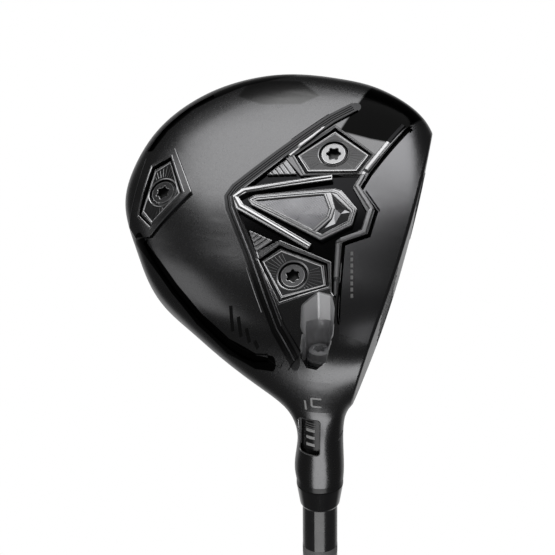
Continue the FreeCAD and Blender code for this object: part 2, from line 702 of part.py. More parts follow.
# ---------------------------------------------------------------- check and write
doc.recompute()
for item in doc.Objects:
    if "Invalid" in item.State or "Error" in item.State:
        raise RuntimeError("%s is %s" % (item.Name, item.State))
for item in doc.Objects:
    loose_solid = item.TypeId == "Part::Feature" and not item.getParentGeoFeatureGroup()
    if item.TypeId != "PartDesign::Body" and not loose_solid:
        continue
    if item.Shape.isNull() or not item.Shape.isValid() or len(item.Shape.Solids) != 1:
        raise RuntimeError("%s is not one valid solid" % item.Label)
    item.Shape.exportStep("parts/%s.step" % item.Label)
    print("%-14s %8.1f mm3" % (item.Label, item.Shape.Volume))
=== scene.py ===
import json
import math

import bpy
from mathutils import Matrix, Vector
from mathutils.bvhtree import BVHTree
from mathutils.geometry import delaunay_2d_cdt, intersect_point_line


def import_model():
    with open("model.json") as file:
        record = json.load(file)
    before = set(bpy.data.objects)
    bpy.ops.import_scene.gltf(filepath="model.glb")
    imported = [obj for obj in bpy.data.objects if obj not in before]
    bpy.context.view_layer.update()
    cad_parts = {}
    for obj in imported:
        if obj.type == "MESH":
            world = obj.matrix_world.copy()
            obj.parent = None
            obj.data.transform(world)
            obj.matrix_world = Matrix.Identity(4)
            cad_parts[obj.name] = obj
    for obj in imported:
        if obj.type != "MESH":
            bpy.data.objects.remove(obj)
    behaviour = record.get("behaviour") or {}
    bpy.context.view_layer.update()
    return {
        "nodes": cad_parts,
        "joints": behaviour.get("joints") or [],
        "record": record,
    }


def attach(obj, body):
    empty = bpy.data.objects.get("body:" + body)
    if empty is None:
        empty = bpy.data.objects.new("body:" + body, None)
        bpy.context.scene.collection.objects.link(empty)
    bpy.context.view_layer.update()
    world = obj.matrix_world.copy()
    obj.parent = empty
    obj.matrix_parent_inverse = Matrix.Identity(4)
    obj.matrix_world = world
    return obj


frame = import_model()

# Looks of the adjustable fairway wood: materials for the CAD nodes, thin trim laid on them,
# studio, lights and camera.  Sizes and places on the object are in millimetres and turned into the
# frame's metres with MM; the camera, the studio and the reach of rays are in metres.
MM = 0.001
nodes = frame["nodes"]
joints = {joint["name"]: joint for joint in frame["joints"]}
mounts = {mount["name"]: mount for mount in frame["record"]["mounts"]}
SHAFT_AXIS = Vector(mounts["grip_vent"]["axis"]).normalized()
AXIS_POINT = Vector(mounts["grip_vent"]["pos_m"])

# ---------------------------------------------------------------- sole layout, millimetres
RIDGE = [(-35.5, -4.4), (-30.5, 0.4), (-16.8, 10.6), (-5.0, 19.0), (-2.2, 19.9), (0.9, 18.6),
         (13.0, 10.1), (23.0, 3.6), (31.0, -1.8), (36.5, -7.2)]
GROOVE = [(-33.0, -19.9), (-16.0, -14.5), (-11.1, -13.5), (-6.0, -19.0), (1.6, -19.0),
          (5.5, -13.4), (24.6, -17.1), (26.2, -17.6)]
LEDGE = [(-15.2, -12.6), (-11.6, -11.9), (-6.0, -17.3), (0.9, -17.3), (5.0, -11.6), (19.6, -14.8)]
RECESS = [(-2.4, 18.4), (-9.6, 13.5), (-16.2, 8.8), (-11.6, 3.2), (-15.0, -10.6), (-15.2, -12.0),
          (-11.0, -11.0), (-4.9, -16.4), (0.3, -16.4), (5.2, -11.4), (20.8, -15.2), (19.4, -13.6),
          (11.2, -11.3), (7.8, 3.4), (12.4, 8.6), (2.0, 16.4)]
BADGE_RIM = [(-2.1, 14.1), (-3.0, 12.9), (-8.4, -5.8), (-8.3, -7.6), (-4.4, -13.2), (-0.5, -13.2),
             (4.7, -7.0), (-1.3, 12.7)]
LENS_END = [(-7.3, -4.6), (-3.4, -7.2), (-0.8, -7.2), (3.5, -4.5)]
GEM = [(-7.9, -6.0), (-3.7, -12.6), (-0.9, -12.6), (4.3, -7.1), (3.9, -5.5), (-0.6, -8.2), (-3.6, -8.2)]
RAIL_TOE_ARM = [(-12.5, -4.9), (-8.2, 6.6), (-4.4, 16.6), (-2.3, 18.5)]
RAIL_HEEL_ARM = [(8.2, -4.8), (4.2, 5.8), (0.2, 16.4), (-2.3, 18.5)]
TOE_GLOSS = [(-27.0, -2.6), (-46.0, -6.6), (-46.0, -17.0), (-38.0, -21.5), (-33.0, -19.4), (-26.6, -16.0),
             (-26.4, -11.2)]
# Groove round the rear of the sole, toe side then heel side: painted shade, dark paint where the step's
# shadow falls.
RIM_SHADE_LINE = [(-44.0, 16.0), (-38.5, 27.8), (-33.4, 34.6), (-29.0, 39.6), (-21.4, 44.8), (-15.4, 47.0)]
RIM_SHADE_LINE_HEEL = [(10.6, 42.8), (16.6, 36.3), (23.6, 28.6), (30.1, 20.2), (34.9, 11.5), (37.2, 3.6),
                 (37.4, -1.0)]
TOE_PANEL = [(-39.6, 26.1), (-41.3, 12.8), (-37.3, 6.0), (-33.6, 10.0), (-31.7, 20.1), (-33.6, 27.6)]
# Painted highlight along the ridge's edge towards the toe.
RIDGE_HIGHLIGHT_TOE = [(-17.1, 8.0), (-20.3, 6.0), (-23.7, 3.6), (-27.1, 1.4)]
# Painted highlight on the slope where the toe's rail ends.
TOE_RAIL_HIGHLIGHT = [(-26.5, -16.0), (-15.4, -12.5)]
TOE_RAIL_DARK = [(-33.0, -18.1), (-26.6, -16.05)]
STRIP_START, STRIP_END = (7.1, -15.7), (20.1, -19.2)
RIM_SHADE_HALF_WIDTH, RIDGE_HALF_WIDTH, GROOVE_HALF_WIDTH = 1.15, 1.45, 0.78

# Plan direction in which the point of each weight's plate lies, and how far the plate is drawn out along it.
PORTS = {"toe": (-0.976, 0.218), "heel": (0.98, 0.19), "rear": (0.0, -1.0)}
PORT_STRETCH = {"toe": 1.0, "heel": 1.0, "rear": 0.8}
PLATE_TOP = -0.5

# Places along the shaft are measured from a foot this far below the butt of the grip.
BUTT_TO_FOOT = -1087.3
NECK_RADIUS = 6.2


# ---------------------------------------------------------------- materials
CLEAR_COAT_ROUGHNESS = 0.06
NOISE_LOW, NOISE_HIGH = 0.3, 0.7
CLOUD_SIZE = 40
# Numbers of a Mix node's input A, input B and output, by the kind of data it mixes.
MIX_SOCKETS = {"RGBA": (6, 7, 2), "FLOAT": (2, 3, 0)}


class Look:
    """A principled material with a grain that varies its colour and roughness and raises a bump."""

    def __init__(self, name, base, roughness, metallic=0.0, coat=0.0, specular=0.5):
        self.material = bpy.data.materials.new(name)
        self.material.use_nodes = True
        self.tree = self.material.node_tree
        self.shader = self.tree.nodes["Principled BSDF"]
        self.base = base
        self.roughness = roughness
        self.shader.inputs["Base Color"].default_value = (*base, 1)
        self.shader.inputs["Roughness"].default_value = roughness
        self.shader.inputs["Metallic"].default_value = metallic
        self.shader.inputs["Coat Weight"].default_value = coat
        self.shader.inputs["Coat Roughness"].default_value = CLEAR_COAT_ROUGHNESS
        self.shader.inputs["Specular IOR Level"].default_value = specular
        self.place = self.add("ShaderNodeTexCoord").outputs["Object"]

    def add(self, kind, **values):
        node = self.tree.nodes.new(kind)
        for key, value in values.items():
            setattr(node, key, value)
        return node

    def link(self, start, end):
        self.tree.links.new(start, end)

    def stretched(self, scale):
        mapping = self.add("ShaderNodeMapping")
        mapping.inputs["Scale"].default_value = scale
        self.link(self.place, mapping.inputs["Vector"])
        return mapping.outputs["Vector"]

    def noise(self, size_mm, detail=3.0, scale=(1, 1, 1)):
        noise = self.add("ShaderNodeTexNoise")
        noise.inputs["Scale"].default_value = 1 / (size_mm * MM)
        noise.inputs["Detail"].default_value = detail
        self.link(self.stretched(scale), noise.inputs["Vector"])
        return noise.outputs["Fac"]

    def range(self, value, low, high, start=NOISE_LOW, end=NOISE_HIGH):
        spread = self.add("ShaderNodeMapRange")
        spread.inputs["From Min"].default_value = start
        spread.inputs["From Max"].default_value = end
        spread.inputs["To Min"].default_value = low
        spread.inputs["To Max"].default_value = high
        self.link(value, spread.inputs["Value"])
        return spread.outputs["Result"]

    def colour(self, value, dark, light):
        ramp = self.add("ShaderNodeValToRGB")
        ramp.color_ramp.elements[0].color = (*[part * dark for part in self.base], 1)
        ramp.color_ramp.elements[1].color = (*[min(1, part * light) for part in self.base], 1)
        ramp.color_ramp.elements[0].position = NOISE_LOW
        ramp.color_ramp.elements[1].position = NOISE_HIGH
        self.link(value, ramp.inputs["Fac"])
        self.link(ramp.outputs["Color"], self.shader.inputs["Base Color"])
        return self

    def rough(self, value, spread):
        result = self.range(value, self.roughness - spread, self.roughness + spread)
        self.link(result, self.shader.inputs["Roughness"])
        return self

    def bump(self, value, height_mm, strength=0.6):
        bump = self.add("ShaderNodeBump")
        bump.inputs["Strength"].default_value = strength
        bump.inputs["Distance"].default_value = height_mm * MM
        self.link(value, bump.inputs["Height"])
        self.link(bump.outputs["Normal"], self.shader.inputs["Normal"])
        return self

    def wave(self, period_mm, direction=(1, 0, 0), profile="SIN"):
        """Lines square to a direction, one each period."""
        across = self.add("ShaderNodeVectorMath", operation="DOT_PRODUCT")
        across.inputs[1].default_value = Vector(direction).normalized()
        self.link(self.place, across.inputs[0])
        turns = self.add("ShaderNodeMath", operation="MULTIPLY")
        turns.inputs[1].default_value = 2 * math.pi / (period_mm * MM)
        self.link(across.outputs["Value"], turns.inputs[0])
        sine = self.add("ShaderNodeMath", operation="SINE")
        self.link(turns.outputs[0], sine.inputs[0])
        half = self.add("ShaderNodeMath", operation="MULTIPLY_ADD")
        half.inputs[1].default_value = 0.5
        half.inputs[2].default_value = 0.5
        self.link(sine.outputs[0], half.inputs[0])
        return half.outputs[0]

    def flat_place(self):
        flat = self.add("ShaderNodeVectorMath", operation="MULTIPLY")
        flat.inputs[1].default_value = (1 / MM, 1 / MM, 0)
        self.link(self.place, flat.inputs[0])
        return flat.outputs["Vector"]

    def within(self, outline):
        """Plan distance outside a convex outline, in millimetres; below zero inside it."""
        flat = self.flat_place()
        middle = sum((Vector(point) for point in outline), Vector((0, 0))) / len(outline)
        worst = None
        for start, end in zip(outline, outline[1:] + outline[:1]):
            start, end = Vector(start), Vector(end)
            out = Vector((end.y - start.y, start.x - end.x)).normalized()
            if out.dot(middle - start) > 0:
                out = -out
            across = self.add("ShaderNodeVectorMath", operation="DOT_PRODUCT")
            across.inputs[1].default_value = (*out, 0)
            self.link(flat, across.inputs[0])
            past = self.add("ShaderNodeMath", operation="SUBTRACT")
            self.link(across.outputs["Value"], past.inputs[0])
            past.inputs[1].default_value = out.dot(start)
            worst = self.both(worst, past.outputs[0], "MAXIMUM") if worst else past.outputs[0]
        return worst

    def near(self, path, half_width):
        """Plan distance outside a band along a path, in millimetres."""
        flat = self.flat_place()
        least = None
        for start, end in zip(path, path[1:]):
            start, run = Vector((*start, 0)), Vector((*end, 0)) - Vector((*start, 0))
            part = self.add("ShaderNodeVectorMath", operation="DOT_PRODUCT")
            part.inputs[1].default_value = run / run.length_squared
            self.link(flat, part.inputs[0])
            share = self.add("ShaderNodeMath", operation="SUBTRACT", use_clamp=True)
            share.inputs[1].default_value = start.dot(run) / run.length_squared
            self.link(part.outputs["Value"], share.inputs[0])
            foot = self.add("ShaderNodeVectorMath", operation="MULTIPLY_ADD")
            foot.inputs[1].default_value = run
            foot.inputs[2].default_value = start
            self.link(share.outputs[0], foot.inputs[0])
            gap = self.add("ShaderNodeVectorMath", operation="DISTANCE")
            self.link(flat, gap.inputs[0])
            self.link(foot.outputs["Vector"], gap.inputs[1])
            least = self.both(least, gap.outputs["Value"], "MINIMUM") if least else gap.outputs["Value"]
        past = self.add("ShaderNodeMath", operation="SUBTRACT")
        past.inputs[1].default_value = half_width
        self.link(least, past.inputs[0])
        return past.outputs[0]

    def coat(self, outside, base, roughness, softness=0.05):
        """Paint over the part where the distance is below zero."""
        mask = self.range(outside, 1.0, 0.0, -softness, softness)
        for socket, kind, value in (("Base Color", "RGBA", (*base, 1)), ("Roughness", "FLOAT", roughness)):
            blend = self.add("ShaderNodeMix", data_type=kind)
            below, above, result = MIX_SOCKETS[kind]
            under_paint = self.shader.inputs[socket].links[0].from_socket
            self.link(mask, blend.inputs[0])
            self.link(under_paint, blend.inputs[below])
            blend.inputs[above].default_value = value
            self.link(blend.outputs[result], self.shader.inputs[socket])
        return self

    def both(self, first, second, operation="MULTIPLY"):
        math_node = self.add("ShaderNodeMath", operation=operation)
        self.link(first, math_node.inputs[0])
        self.link(second, math_node.inputs[1])
        return math_node.outputs[0]


def grained(name, base, roughness, size_mm, metallic=0.0, coat=0.0, contrast=0.15, spread=0.05, height=0.01,
            scale=(1, 1, 1), specular=0.5):
    """Plain finish with a fine grain and softer clouds in its colour and gloss."""
    look = Look(name, base, roughness, metallic, coat, specular)
    grain = look.noise(size_mm, scale=scale)
    cloud = look.noise(size_mm * CLOUD_SIZE, detail=2.0)
    look.colour(look.both(grain, cloud, "ADD"), 1 - contrast, 1 + contrast)
    look.rough(cloud, spread)
    look.bump(grain, height)
    return look.material


def carbon(name):
    """Clear-coated twill: tows of two directions change over in a diagonal pattern."""
    tow_width, fibre_width = 3.2, 0.5
    look = Look(name, (0.016, 0.016, 0.018), 0.32, coat=1.0)
    rows = look.wave(tow_width, (1, 0, 0))
    columns = look.wave(tow_width, (0, 1, 0))
    pattern = look.both(rows, columns, "GREATER_THAN")
    tow = look.both(look.wave(fibre_width, (1, 0.3, 0)), pattern)
    look.colour(look.both(pattern, look.noise(9.0), "MULTIPLY"), 0.6, 1.7)
    look.rough(pattern, 0.08)
    look.bump(tow, 0.01, 0.3)
    return look.material


def woven_lens(name):
    """Grey resin with a fine weave on two diagonals."""
    thread, slant = 0.55, 0.8
    look = Look(name, (0.16, 0.16, 0.17), 0.3, metallic=0.6, coat=0.6)
    diagonal = look.wave(thread, (1, slant, 0))
    other = look.wave(thread, (1, -slant, 0))
    look.colour(look.both(look.both(diagonal, other), look.noise(4.0), "ADD"), 0.55, 1.35)
    look.rough(look.noise(2.0), 0.06)
    look.bump(diagonal, 0.02, 0.4)
    return look.material


def grip_rubber(name):
    """Matt rubber with a fine diamond hatch round the handle."""
    line_gap, lean = 2.6, Vector((0, 0.9, 0))
    look = Look(name, (0.022, 0.022, 0.023), 0.78)
    along = look.wave(line_gap, SHAFT_AXIS + lean)
    across = look.wave(line_gap, SHAFT_AXIS - lean)
    hatch = look.both(along, across, "MAXIMUM")
    look.colour(look.both(hatch, look.noise(14.0)), 0.7, 1.5)
    look.rough(look.noise(1.0), 0.08)
    look.bump(hatch, 0.25, 0.8)
    return look.material


def painted_graphite(name):
    """Black shaft paint, with the faint length-wise grain of the fibre under it."""
    look = Look(name, (0.014, 0.014, 0.015), 0.28, coat=0.5)
    fibre = look.noise(0.9, scale=(0.25, 1, 0.18))
    look.colour(look.both(fibre, look.noise(30.0), "ADD"), 0.75, 1.3)
    look.rough(look.noise(6.0), 0.05)
    look.bump(fibre, 0.006)
    return look.material


def chassis_satin():
    """Blasted satin black with gloss paint towards the toe, painted shade in the groove along the rim, and
    fine sole lines.
    """
    look = Look("satin_black", (0.1, 0.1, 0.102), 0.25, metallic=1.0)
    grain = look.noise(0.35)
    look.colour(look.both(grain, look.noise(14.0, detail=2.0), "ADD"), 0.9, 1.1)
    look.rough(grain, 0.03)
    look.bump(grain, 0.003)
    look.coat(look.within(TOE_GLOSS), (0.002, 0.002, 0.002), 0.12, 0.3)
    look.coat(look.within(TOE_PANEL), (0.07, 0.07, 0.07), 0.2, 0.3)
    # Painted shade along the rim's groove, standing in for the shadow of its step.
    for path in (RIM_SHADE_LINE, RIM_SHADE_LINE_HEEL):
        look.coat(look.near(path, RIM_SHADE_HALF_WIDTH), (0.003, 0.003, 0.003), 0.3)
    look.coat(look.near(RIDGE, RIDGE_HALF_WIDTH), (0.035, 0.035, 0.036), 0.25)
    look.coat(look.near(GROOVE, GROOVE_HALF_WIDTH), (0.002, 0.002, 0.002), 0.4)
    return look.material


LOOKS = {
    "satin": chassis_satin(),
    "face": grained("face_black", (0.115, 0.115, 0.119), 0.25, 0.5, metallic=1.0, contrast=0.08, spread=0.03,
                    height=0.004, scale=(0.12, 1, 1)),
    # Painted shade inside the screws' sockets.
    "socket": grained("socket_painted_shade", (0.03, 0.03, 0.03), 0.35, 0.4, metallic=0.6, height=0.003),
    # Painted highlight laid along sharp convex edges.
    "wire": grained("painted_edge_highlight", (0.4, 0.4, 0.405), 0.3, 0.5, metallic=0.85, height=0.002),
    "gloss": grained("gloss_black", (0.008, 0.008, 0.0085), 0.16, 2.5, metallic=1.0, height=0.004,
                     spread=0.03),
    "groove": grained("groove_black", (0.004, 0.004, 0.004), 0.5, 0.3, specular=0.15),
    "ledge": grained("ledge_grey", (0.2, 0.2, 0.205), 0.34, 0.4, metallic=0.9, height=0.003),
    # Painted highlight: the bright edge of the ridge and the bright outline of the weights' plates.
    "bright": grained("bright_painted_highlight", (0.75, 0.75, 0.76), 0.35, 0.5, metallic=0.3, height=0.003),
    # Machined lines in the plates, and painted highlights along the edges of pockets, ridge, toe rail and
    # lens.
    "line": grained("machined_lines_and_dull_highlights", (0.3, 0.3, 0.305), 0.3, 0.5, metallic=1.0, height=0.003),
    "ridge": grained("ridge_black", (0.14, 0.14, 0.145), 0.3, 0.4, metallic=0.9, height=0.003),
    "ramp": grained("ramp_metal", (0.62, 0.62, 0.63), 0.42, 0.6, metallic=0.5, height=0.004),
    "rim": grained("rim_metal", (0.26, 0.26, 0.265), 0.25, 0.4, metallic=1.0, height=0.003),
    "rail": grained("rail_metal", (0.33, 0.33, 0.335), 0.24, 0.4, metallic=1.0, height=0.003),
    "lens": woven_lens("lens_grey"),
    "gem": grained("gem_black", (0.12, 0.12, 0.125), 0.1, 1.2, metallic=0.8, coat=1.0, height=0.002,
                   contrast=0.4, spread=0.03),
    "chevron": grained("chevron_grey", (0.2, 0.2, 0.205), 0.3, 0.3, metallic=0.9, height=0.003),
    "plate": grained("weight_grey", (0.034, 0.034, 0.035), 0.3, 0.3, metallic=0.8, coat=0.2, height=0.004),
    "mark": grained("mark_paint", (0.5, 0.5, 0.5), 0.5, 0.4, height=0.003),
    "dim_mark": grained("dim_mark_paint", (0.2, 0.2, 0.2), 0.5, 0.4, height=0.003),
    "steel": grained("bare_steel", (0.5, 0.5, 0.51), 0.3, 0.4, metallic=1.0, scale=(1, 0.1, 1)),
    "screw_light": grained("screw_light", (0.2, 0.2, 0.203), 0.27, 0.3, metallic=0.9, height=0.003),
    "screw_dark": grained("screw_dark", (0.13, 0.13, 0.133), 0.28, 0.3, metallic=1.0, height=0.003),
    "bolt": grained("bolt_zinc", (0.62, 0.62, 0.63), 0.35, 0.3, metallic=0.4, height=0.004),
    "sleeve": grained("sleeve_black", (0.02, 0.02, 0.021), 0.3, 0.4, metallic=0.3),
    "ferrule": grained("ferrule_black", (0.006, 0.006, 0.007), 0.1, 3.0, coat=0.8, height=0.003, spread=0.03),
    "shaft": painted_graphite("shaft_black"),
    "crown": carbon("crown_carbon"),
    "tape": grained("tape_paper", (0.75, 0.73, 0.68), 0.8, 0.5, height=0.03),
    "grip": grip_rubber("grip_rubber"),
    "cap": grained("cap_rubber", (0.025, 0.025, 0.026), 0.7, 0.8, height=0.03),
}
NODE_LOOKS = {
    "face_shell": "face", "crown_panel": "crown", "bridge_weight": "steel", "badge_rim": "rim",
    "badge_lens": "lens", "badge_gem": "gem", "v_rail": "rail", "toe_chevron": "chevron",
    "heel_chevron": "chevron", "toe_weight": "plate", "heel_weight": "plate", "rear_weight": "plate",
    "toe_screw": "screw_light", "heel_screw": "screw_dark", "rear_screw": "screw_dark",
    "hosel_bolt": "bolt", "bolt_washer": "steel", "hosel_sleeve": "sleeve", "ferrule": "ferrule",
    "shaft": "shaft", "grip_tape": "tape", "grip": "grip", "grip_cap": "cap",
}


def inside(outline, x, y):
    """Whether a plan point lies in an outline."""
    found = False
    for (ax, ay), (bx, by) in zip(outline, outline[1:] + outline[:1]):
        if (ay > y) != (by > y) and x < (bx - ax) * (y - ay) / (by - ay) + ax:
            found = not found
    return found


def path_distance(path, x, y):
    """Plan distance from a point to a path."""
    point = Vector((x, y, 0))
    best = 1e9
    for start, end in zip(path, path[1:]):
        start, end = Vector((*start, 0)), Vector((*end, 0))
        foot, part = intersect_point_line(point, start, end)
        foot = start if part < 0 else end if part > 1 else foot
        best = min(best, (point - foot).length)
    return best


def between(value, limits):
    return limits[0] < value < limits[1]


def off_axis(spot):
    """Distance from the shaft line, in millimetres."""
    along = (spot - AXIS_POINT).dot(SHAFT_AXIS)
    return (spot - AXIS_POINT - SHAFT_AXIS * along).length / MM


# Faces of the ramp in the scoop under the bolt: a box in millimetres, the furthest they lie from the
# shaft line, and the normal below which a face belongs to the sole instead.
RAMP_X, RAMP_Y, RAMP_TOP = (20, 34), (-17.5, -5), 20
RAMP_RADIUS = 7.5
RAMP_LOWEST_NORMAL = -0.75
RECESS_TOP = 14


def chassis_finish(face):
    """Which finish the chassis has at a face: its paint changes at the edges of its own steps."""
    x, y, z = [part / MM for part in face.center]
    in_ramp = between(x, RAMP_X) and between(y, RAMP_Y) and z < RAMP_TOP
    if in_ramp and off_axis(face.center) < RAMP_RADIUS and face.normal.z > RAMP_LOWEST_NORMAL:
        return "ramp"
    if z < RECESS_TOP and inside(RECESS, x, y):
        return "gloss"
    return "satin"


def dress_chassis():
    chassis = nodes["head_chassis"]
    order = ["satin", "gloss", "ramp"]
    chassis.data.materials.clear()
    for name in order:
        chassis.data.materials.append(LOOKS[name])
    for face in chassis.data.polygons:
        face.material_index = order.index(chassis_finish(face))


SOCKET_RADIUS = 2.15
RING_BELOW_PIVOT = 0.65
FLOOR_BELOW_RING = 0.5
FACES_OUTWARDS = 0.9


def darken_socket(name, ring, axis):
    """The walls and floor of a screw's socket are darker than its ring: painted shade, for the shadow in the
    socket.
    """
    mesh = nodes[name].data
    mesh.materials.append(LOOKS["socket"])
    for face in mesh.polygons:
        gap = face.center - ring
        along = gap.dot(axis)
        in_socket = (gap - axis * along).length < SOCKET_RADIUS * MM
        is_wall = face.normal.dot(axis) < FACES_OUTWARDS
        if in_socket and (is_wall or along < -FLOOR_BELOW_RING * MM):
            face.material_index = 1


def dress_nodes():
    for name, look in NODE_LOOKS.items():
        nodes[name].data.materials.clear()
        nodes[name].data.materials.append(LOOKS[look])
    for name in PORTS:
        turn = joints[name + "_screw_turn"]
        axis = Vector(turn["axis"]).normalized()
        ring = Vector(turn["pos_m"]) - axis * RING_BELOW_PIVOT * MM
        darken_socket(name + "_screw", ring, axis)
    dress_chassis()


# ---------------------------------------------------------------- laying trim on the CAD surfaces
def surface_of(*names):
    """Search tree over the faces of some CAD nodes, for laying trim on them."""
    points, faces = [], []
    for name in names:
        mesh = nodes[name].data
        start = len(points)
        points += [vertex.co.copy() for vertex in mesh.vertices]
        faces += [[start + index for index in face.vertices] for face in mesh.polygons]
    return BVHTree.FromPolygons(points, faces)


DOWN = Vector((0, 0, -1))
# Where a surface is turned further away than this, trim keeps the direction it's seen from as its normal.
STEEPEST = 0.6
SHARPEST_MITRE = 0.35
SUNK = 0.12
HEAD = surface_of("head_chassis", "face_shell")


def lay(surface, point, outwards=DOWN, reach=0.03):
    """Point of a surface seen from outside along a direction, with its outward normal."""
    hit, normal, _, _ = surface.ray_cast(point + outwards * reach, -outwards, 3 * reach)
    if hit is None:
        return point, outwards
    if normal.dot(outwards) < 0:
        normal = -normal
    if normal.dot(outwards) < STEEPEST:
        normal = outwards
    return hit, normal


def resampled(path, step):
    """Points along a path, no further apart than a step."""
    points = [Vector(path[0])]
    for start, end in zip(path, path[1:]):
        start, end = Vector(start), Vector(end)
        count = max(1, math.ceil((end - start).length / step))
        points += [start.lerp(end, part / count) for part in range(1, count + 1)]
    return points


def sideways(points, index, closed):
    """Mitred sideways direction of a plan path at one of its points."""
    last = len(points) - 1
    before = points[index - 1] if index > 0 or closed else points[index]
    after = points[(index + 1) % len(points)] if index < last or closed else points[index]
    sides = []
    for start, end in ((before, points[index]), (points[index], after)):
        run = end - start
        if run.length > 1e-9:
            run.normalize()
            sides.append(Vector((-run.y, run.x)))
    side = sum(sides, Vector((0, 0))) / len(sides)
    return side / max(SHARPEST_MITRE, side.length_squared)


# Cross sections of a strip: sideways in half widths, height in rises; below zero is sunk in the surface.
SECTIONS = {
    "flat": [(-1, -1), (-0.86, 1), (0.86, 1), (1, -1)],
    "roof": [(-1, -1), (-0.8, 0.2), (0, 1), (0.8, 0.2), (1, -1)],
    "round": [(-1, -1), (-0.8, 0.45), (-0.35, 0.95), (0.35, 0.95), (0.8, 0.45), (1, -1)],
}


def make_mesh(name, points, faces, look, body):
    """Visual piece with flat faces that rides a body of the model."""
    mesh = bpy.data.meshes.new(name)
    mesh.from_pydata(points, [], faces)
    mesh.update()
    mesh.materials.append(LOOKS[look])
    for face in mesh.polygons:
        face.use_smooth = False
    piece = bpy.data.objects.new(name, mesh)
    bpy.context.scene.collection.objects.link(piece)
    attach(piece, body)
    return piece


def bead(path, width, rise, section, place, closed=False, taper=1.0, step=0.8):
    """Points and faces of a thin strip along a plan path; place() turns plan and height into space."""
    samples = resampled(list(path) + ([path[0]] if closed else []), step)
    if closed:
        samples.pop()
    shape = SECTIONS[section]
    points, faces = [], []
    count, across = len(samples), len(shape)
    for index, sample in enumerate(samples):
        side = sideways(samples, index, closed)
        half = width / 2 * (1 + (taper - 1) * index / max(1, count - 1))
        base = place(sample.x, sample.y)
        for offset, level in shape:
            height = rise * level if level > 0 else -SUNK
            points.append(base(side * half * offset, height))
    for index in range(count if closed else count - 1):
        start, following = index * across, ((index + 1) % count) * across
        for corner in range(across):
            beside = (corner + 1) % across
            faces.append((start + corner, following + corner, following + beside, start + beside))
    if not closed:
        faces.append(tuple(range(across)))
        faces.append(tuple(reversed(range((count - 1) * across, count * across))))
    return points, faces


def on_sole(surface=None):
    """Place on the underside of the head: x and y in plan, height square to the surface."""
    surface = surface or HEAD

    def place(x, y):
        hit, normal = lay(surface, Vector((x, y, 0)) * MM)

        def lifted(offset, height):
            flat = Vector((offset.x, offset.y, 0))
            flat.z = -(flat.x * normal.x + flat.y * normal.y) / normal.z
            return hit + flat * MM + normal * height * MM
        return lifted
    return place


class Port:
    """Frame of a weight port: x and y across the plate, height outwards."""

    REACH = 0.01
    BASE, SIDE, POINT, FOOT, SHOULDER = 7.0, 10.3, 8.0, 6.4, -0.6
    BASE_INSET, SIDE_INSET, POINT_INSET = 0.9, 1.15, 1.35

    def __init__(self, name):
        joint = joints[name + "_screw_turn"]
        self.origin = Vector(joint["pos_m"])
        self.out = Vector(joint["axis"]).normalized()
        along = Vector((*PORTS[name], 0))
        self.along = (along - self.out * along.dot(self.out)).normalized()
        self.side = self.along.cross(self.out)
        self.stretch = PORT_STRETCH[name]

    def at(self, x, y, height):
        return self.origin + (self.side * x + self.along * y + self.out * height) * MM

    def plane(self, level):
        def place(x, y):
            def lifted(offset, height):
                return self.at(x + offset.x, y + offset.y, level + height)
            return lifted
        return place

    def over(self, surface):
        def place(x, y):
            hit, _ = lay(surface, self.at(x, y, 0), self.out, self.REACH)
            level = (hit - self.origin).dot(self.out) / MM
            return self.plane(level)(x, y)
        return place

    def pentagon(self, inset):
        """Outline of the plate moved inwards; each corner moves by its own share of the inset."""
        base = self.BASE - inset * self.BASE_INSET
        side = self.SIDE - inset * self.SIDE_INSET
        point = (self.POINT - inset * self.POINT_INSET) * self.stretch
        foot = (self.FOOT - inset) * self.stretch
        shoulder = self.SHOULDER * self.stretch
        return [(-base, -foot), (base, -foot), (side, shoulder), (0, point), (-side, shoulder)]


def trim(name, path, width, rise, look, section="flat", place=None, body="head", **options):
    """Thin strip of a look along a path, on the sole unless another place is given."""
    points, faces = bead(path, width, rise, section, place or on_sole(), **options)
    return make_mesh(name, points, faces, look, body)


SHARP = 0.72
SHORTEST_EDGE = 0.02


def sharp_edges(node):
    """Convex sharp edges of a CAD node as (start, end, outward direction)."""
    mesh = nodes[node].data
    beside = {}
    for face in mesh.polygons:
        corners = [mesh.vertices[index].co for index in face.vertices]
        for start, end in zip(corners, corners[1:] + corners[:1]):
            ends = [tuple(round(part, 7) for part in corner) for corner in (start, end)]
            beside.setdefault(tuple(sorted(ends)), []).append(face)
    found = []
    for (start, end), faces in sorted(beside.items()):
        if len(faces) != 2 or faces[0].normal.dot(faces[1].normal) > SHARP:
            continue
        start, end = Vector(start), Vector(end)
        convex = (faces[1].center - start).dot(faces[0].normal) < 0
        if convex and (end - start).length > SHORTEST_EDGE * MM:
            found.append((start, end, (faces[0].normal + faces[1].normal).normalized()))
    return found


def edge_wire(name, node, keep, width, look, body="head"):
    """Thin bright strip along the sharp edges that pass a test: a painted highlight where each edge catches
    the light.
    """
    points, faces = [], []
    half = width / 2 * MM
    for start, end, out in sharp_edges(node):
        if not keep((start + end) / 2, out):
            continue
        side = (end - start).normalized().cross(out)
        first = len(points)
        for spot in (start, end):
            points += [spot - out * half, spot + side * half, spot + out * half * 0.5, spot - side * half]
        for corner in range(4):
            after = (corner + 1) % 4
            faces.append((first + corner, first + after, first + 4 + after, first + 4 + corner))
        faces.append((first + 3, first + 2, first + 1, first))
        faces.append((first + 4, first + 5, first + 6, first + 7))
    if points:
        make_mesh(name, points, faces, look, body)


LOOKS_DOWN = -0.35


def faces_down(spot, out):
    return out.z < LOOKS_DOWN


# Edges of the scoop's mouth: a box in millimetres, the furthest they lie from the shaft line, how far down
# they look, and how clear they are of the painted groove and ridge.
MOUTH_X, MOUTH_Y, MOUTH_TOP = (19, 36), (-17.5, -5), 12
MOUTH_RADIUS = 10
MOUTH_LOOKS_DOWN = -0.2
CLEAR_OF_GROOVE, CLEAR_OF_RIDGE = 1.9, 3.0


